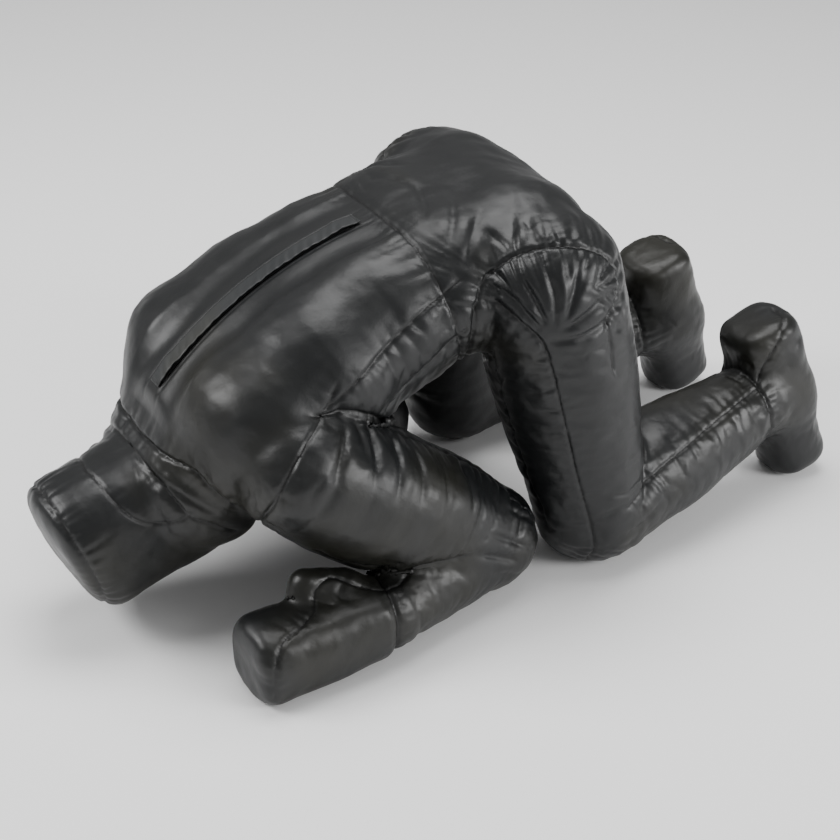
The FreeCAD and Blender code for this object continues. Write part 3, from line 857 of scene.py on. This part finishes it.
# ---- materials
def leather(name, pale=1.0, dull=0.0):
    """Thin black synthetic leather, satin and a little olive in patches; pale lightens its colour and dull
    raises its roughness.
    """
    material = bpy.data.materials.new(name)
    material.use_nodes = True
    tree = material.node_tree
    shader = tree.nodes["Principled BSDF"]
    place = tree.nodes.new("ShaderNodeTexCoord")

    def noise(scale, detail, roughness):
        node = tree.nodes.new("ShaderNodeTexNoise")
        node.inputs["Scale"].default_value = scale
        node.inputs["Detail"].default_value = detail
        node.inputs["Roughness"].default_value = roughness
        tree.links.new(place.outputs["Object"], node.inputs["Vector"])
        return node.outputs["Fac"]

    def ramp(source, stops):
        node = tree.nodes.new("ShaderNodeValToRGB")
        elements = node.color_ramp.elements
        while len(elements) < len(stops):
            elements.new(0.5)
        for element, (position, color) in zip(elements, stops):
            element.position = position
            element.color = color
        tree.links.new(source, node.inputs["Fac"])
        return node.outputs["Color"]

    def bump(source, strength, distance, below=None):
        node = tree.nodes.new("ShaderNodeBump")
        node.inputs["Strength"].default_value = strength
        node.inputs["Distance"].default_value = distance
        tree.links.new(source, node.inputs["Height"])
        if below is not None:
            tree.links.new(below, node.inputs["Normal"])
        return node.outputs["Normal"]

    patches = noise(3.2, 3, 0.55)
    tints = [
        (0.35, (0.0032, 0.0038, 0.0044)),
        (0.52, (0.0055, 0.0061, 0.0064)),
        (0.68, (0.0105, 0.0102, 0.0070)),
    ]
    tint = ramp(patches, [(at, tuple(pale * c for c in color) + (1,)) for at, color in tints])
    # painted shade: the "seam" attribute mixes a near-black into the colour along the seams' grooves and the
    # flap's stitch lines
    seam = tree.nodes.new("ShaderNodeAttribute")
    seam.attribute_name = "seam"
    painted_seam_shade = tree.nodes.new("ShaderNodeMix")
    painted_seam_shade.data_type = "RGBA"
    # colour of the painted seam shade
    painted_seam_shade.inputs[7].default_value = (0.002, 0.002, 0.002, 1)
    tree.links.new(seam.outputs["Fac"], painted_seam_shade.inputs["Factor"])
    tree.links.new(tint, painted_seam_shade.inputs[6])
    tree.links.new(painted_seam_shade.outputs[2], shader.inputs["Base Color"])
    gloss = ramp(noise(11, 6, 0.62), [(0.3, (0.34 + dull,) * 3 + (1,)), (0.7, (0.47 + dull,) * 3 + (1,))])
    tree.links.new(gloss, shader.inputs["Roughness"])
    crumple = bump(noise(80, 3, 0.5), 0.22, 0.0010, bump(noise(30, 4, 0.55), 0.28, 0.0028))
    cells = tree.nodes.new("ShaderNodeTexVoronoi")
    cells.inputs["Scale"].default_value = 700
    tree.links.new(place.outputs["Object"], cells.inputs["Vector"])
    grain = bump(cells.outputs["Distance"], 0.18, 0.0004, crumple)
    tree.links.new(grain, shader.inputs["Normal"])
    shader.inputs["IOR"].default_value = 1.5
    shader.inputs["Specular IOR Level"].default_value = 0.42
    return material


LEATHER = leather("black_leather")

BLENDS = {  # piece: the other body, a point and the direction of the bend, and its start and end along it
    "pelvis": ("torso", WAIST_POINT, WAIST_NORMAL, 0.002, 0.042),
    "head": ("torso", NECK, -NECK_NORMAL, 0.002, 0.055),
    "upper_arm": ("torso", SHOULDER, SHOULDER_SLAB, 0.085, 0.170),
    "forearm": ("upper_arm", ELBOW, ELBOW_SPLIT, ELBOW_START + 0.002, 0.022),
    "hand": ("forearm", WRIST_POINT, np.array([0, -1.0, 0]), 0.002, 0.036),
    "thigh": ("pelvis", HIP, HIP_SLAB, 0.040, 0.160),
    "shin": ("thigh", KNEE, KNEE_SPLIT, KNEE_START + 0.004, 0.050),
    "foot": ("shin", ANKLE_POINT, SHIN_LINE, 0.002, 0.042),
}

for number, name in enumerate(PIECES):
    piece = piece_mesh(name + "_skin", faces[face_labels == number], skin, normals, painted_groove_shade)
    piece.data.materials.append(LEATHER)
    limb, _, side = name.rpartition("_")
    if name == "torso":
        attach(piece, "torso")
    else:
        parent, point, direction, start, end = BLENDS[limb if side in ("left", "right") else name]
        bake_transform(piece)
    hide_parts(*COVERS[name])
bpy.data.objects.remove(body)


# ---- flap over the zipper
def woven_look(name, color, roughness):
    """Thread, tape or coil with a fine rib."""
    material = bpy.data.materials.new(name)
    material.use_nodes = True
    tree = material.node_tree
    shader = tree.nodes["Principled BSDF"]
    shader.inputs["Base Color"].default_value = color
    shader.inputs["Roughness"].default_value = roughness
    place = tree.nodes.new("ShaderNodeTexCoord")
    weave = tree.nodes.new("ShaderNodeTexWave")
    weave.inputs["Scale"].default_value = 900
    tree.links.new(place.outputs["Object"], weave.inputs["Vector"])
    bump = tree.nodes.new("ShaderNodeBump")
    bump.inputs["Strength"].default_value = 0.3
    bump.inputs["Distance"].default_value = 0.0003
    tree.links.new(weave.outputs["Fac"], bump.inputs["Height"])
    tree.links.new(bump.outputs["Normal"], shader.inputs["Normal"])
    return material


def arc_point(x, degrees, radius):
    angle = math.radians(degrees)
    p = ZIP_CENTRE + (ZIP_UP * math.cos(angle) + ZIP_ALONG * math.sin(angle)) * radius
    return np.array([x, p[1], p[2]])


FLAP_HALF = 0.0150
FLAP_THICK = 0.0024
FLAP_RISE = 0.0030  # middle of the flap above the back's arc
STITCH_LINE = 0.0036  # from the sewn edge
STITCH_HALF = 0.0010  # half the width of the dent under the stitches
STITCH_DENT = 0.0013
STITCH_PITCH = 0.0042
SLIDER_STOPS = (-14.7, 15.3)  # degrees along the arc, where the slider lifts the flap
SLIDER_RISE = 0.0022


def flap_height(x, degrees):
    """The flap lies close at its sewn right-hand edge and stands a little proud at the free one."""
    free = (x + FLAP_HALF) / (2 * FLAP_HALF)
    ripple = math.sin(degrees * 1.9 + 1) * math.sin(degrees * 0.63)
    ripple = ripple + 0.6 * math.sin(degrees * 4.1 + 3 * x / FLAP_HALF)
    slider = SLIDER_RISE * sum(math.exp(-((degrees - stop) / 1.3) ** 2) for stop in SLIDER_STOPS)
    return ZIP_RADIUS + FLAP_RISE + 0.0004 * free + 0.0006 * ripple * (0.25 + free) + slider


def make_flap():
    """A closed strip along the arc: its top and bottom are rows of points across it."""
    rows = 260
    across = 41
    verts = []
    for i in range(rows):
        degrees = -FLAP_SPAN / 2 + FLAP_SPAN * i / (rows - 1)
        top = []
        bottom = []
        for j in range(across):
            u = -1 + 2 * j / (across - 1)
            edge = 1 - abs(u) ** 14
            end = 1 - abs(-1 + 2 * i / (rows - 1)) ** 60
            x = FLAP_HALF * u
            base = flap_height(x, degrees)
            stitched = math.exp(-((x + FLAP_HALF - STITCH_LINE) / STITCH_HALF) ** 2)
            half = FLAP_THICK / 2 * (0.35 + 0.65 * edge * end)
            top.append(arc_point(x, degrees, base + half - STITCH_DENT * stitched))
            bottom.append(arc_point(x, degrees, base - half))
        verts += top + bottom[::-1]
    loop = 2 * across
    faces = []
    for i in range(rows - 1):
        for j in range(loop):
            k = (j + 1) % loop
            faces.append((i * loop + j, i * loop + k, (i + 1) * loop + k, (i + 1) * loop + j))
    for j in range(across - 1):
        a = j
        b = loop - 1 - j
        last = (rows - 1) * loop
        faces.append((a, b, b - 1, a + 1))
        faces.append((last + a + 1, last + b - 1, last + b, last + a))
    flap = mesh_object("flap_strip", verts, faces)
    bm = bmesh.new()
    bm.from_mesh(flap.data)
    bmesh.ops.recalc_face_normals(bm, faces=bm.faces)
    bm.to_mesh(flap.data)
    bm.free()
    for polygon in flap.data.polygons:
        polygon.use_smooth = True
    points = coordinates(flap.data)
    angle, _ = on_arc(points)
    # painted shade along the stitch line by the sewn edge and across both ends
    stitch_line_shade = np.exp(-((points[:, 0] + FLAP_HALF - STITCH_LINE) / 0.0011) ** 2)
    end_stitch_shade = np.exp(-((np.abs(angle) - FLAP_SPAN / 2 + 0.33) / 0.06) ** 2)
    painted_seam_shade = flap.data.attributes.new("seam", "FLOAT", "POINT")
    painted_seam_shade.data.foreach_set("value", np.maximum(stitch_line_shade, end_stitch_shade).astype(np.float32))
    return flap


def make_stitches(name, places, length=0.0032, radius=0.00045):
    """One small thread bead per stitch; each place is its middle, direction and up."""
    verts = []
    faces = []
    for middle, direction, up in places:
        side = np.cross(direction, up)
        base = len(verts)
        for t, r in ((-0.5, 0.2), (-0.3, 1.0), (0.3, 1.0), (0.5, 0.2)):
            for k in range(6):
                a = k * math.pi / 3
                outward = side * math.cos(a) + up * math.sin(a)
                verts.append(middle + direction * t * length + outward * radius * r)
        for row in range(3):
            for k in range(6):
                a = base + row * 6 + k
                b = base + row * 6 + (k + 1) % 6
                faces.append((a, b, b + 6, a + 6))
        faces.append(tuple(base + k for k in reversed(range(6))))
        faces.append(tuple(base + 18 + k for k in range(6)))
    stitches = mesh_object(name, verts, faces)
    for polygon in stitches.data.polygons:
        polygon.use_smooth = True
    return stitches


def flap_stitch_places():
    """One row along the sewn edge and two across either end."""
    places = []
    pitch = math.degrees(STITCH_PITCH / ZIP_RADIUS)
    count = int(FLAP_SPAN / pitch) - 4
    x = -FLAP_HALF + STITCH_LINE
    for i in range(count):
        degrees = -FLAP_SPAN / 2 + pitch * (i + 2.5)
        here = arc_point(x, degrees, flap_height(x, degrees) + FLAP_THICK / 2)
        there = arc_point(x, degrees + 0.1, flap_height(x, degrees + 0.1) + FLAP_THICK / 2)
        places.append((here, unit(there - here), unit(here - ZIP_CENTRE * np.array([0, 1, 1]) - [x, 0, 0])))
    for end in (-1, 1):
        for row in (0.30, 0.62):
            degrees = end * (FLAP_SPAN / 2 - row)
            for j in range(6):
                x = -FLAP_HALF + 0.0026 + 0.0045 * j
                here = arc_point(x, degrees, flap_height(x, degrees) + FLAP_THICK / 2)
                up = unit(here - ZIP_CENTRE - np.array([x, 0, 0]))
                places.append((here, np.array([1.0, 0, 0]), up))
    return places


flap = make_flap()
flap.data.materials.append(leather("flap_leather", 2.6, 0.10))
stitches = make_stitches("flap_stitching", flap_stitch_places())
stitches.data.materials.append(woven_look("black_thread", (0.045, 0.045, 0.045, 1), 0.7))
for piece in (flap, stitches):
    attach(piece, "zip_flap")
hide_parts("zip_flap")

# ---- zipper
LOOKS = {
    "zip_tape_left": woven_look("zip_tape", (0.012, 0.012, 0.012, 1), 0.85),
    "zip_teeth": woven_look("zip_teeth", (0.02, 0.02, 0.02, 1), 0.45),
    "zip_slider": woven_look("zip_slider", (0.10, 0.10, 0.10, 1), 0.35),
}
LOOKS["zip_tape_right"] = LOOKS["zip_tape_left"]
LOOKS["zip_slider"].node_tree.nodes["Principled BSDF"].inputs["Metallic"].default_value = 1.0
for node, look in LOOKS.items():
    for slot in frame["nodes"][node].material_slots:
        slot.material = look

# ---- camera, floor and lights
CAMERA_AIM = np.array([0.09, -0.060, 0.242])
CAMERA_AZIMUTH = math.radians(60.64)
CAMERA_ELEVATION = math.radians(30.58)
CAMERA_DISTANCE = 3.066
CAMERA_LENS = 86.9  # on a 36 mm sensor


def place_camera():
    back = np.array([
        math.sin(CAMERA_AZIMUTH) * math.cos(CAMERA_ELEVATION),
        -math.cos(CAMERA_AZIMUTH) * math.cos(CAMERA_ELEVATION),
        math.sin(CAMERA_ELEVATION),
    ])
    data = bpy.data.cameras.new("camera")
    data.lens = CAMERA_LENS
    data.sensor_width = 36
    camera = link(bpy.data.objects.new("camera", data))
    camera.location = Vector(CAMERA_AIM + back * CAMERA_DISTANCE)
    camera.rotation_euler = Vector(back).to_track_quat("Z", "Y").to_euler()
    bpy.context.scene.camera = camera


def area_light(name, location, aim, size, power):
    data = bpy.data.lights.new(name, "AREA")
    data.shape = "RECTANGLE"
    data.size, data.size_y = size
    data.energy = power
    light = link(bpy.data.objects.new(name, data))
    light.location = Vector(location)
    light.rotation_euler = (Vector(location) - Vector(aim)).to_track_quat("Z", "Y").to_euler()


def make_floor():
    floor = mesh_object("floor", [(-8, -8, 0), (8, -8, 0), (8, 8, 0), (-8, 8, 0)], [(0, 1, 2, 3)])
    material = bpy.data.materials.new("pale_floor")
    material.use_nodes = True
    shader = material.node_tree.nodes["Principled BSDF"]
    shader.inputs["Base Color"].default_value = (0.95, 0.95, 0.95, 1)
    shader.inputs["Roughness"].default_value = 0.9
    floor.data.materials.append(material)


def light_scene():
    world = bpy.data.worlds.new("studio")
    bpy.context.scene.world = world
    world.use_nodes = True
    background = world.node_tree.nodes["Background"]
    background.inputs["Color"].default_value = (1, 1, 1, 1)
    background.inputs["Strength"].default_value = 0.40
    area_light("overhead", (-0.4, 0.3, 3.2), (0, 0, 0.3), (2.4, 1.8), 92)
    area_light("key", (-1.0, -2.6, 2.4), (0, 0, 0.3), (1.6, 1.2), 80)
    area_light("side", (3.2, 1.6, 2.2), (0, 0, 0.3), (1.2, 1.6), 40)
    area_light("low_side", (2.6, 2.3, 1.0), (0, 0, 0.3), (1.4, 0.8), 62)


place_camera()
make_floor()
light_scene()
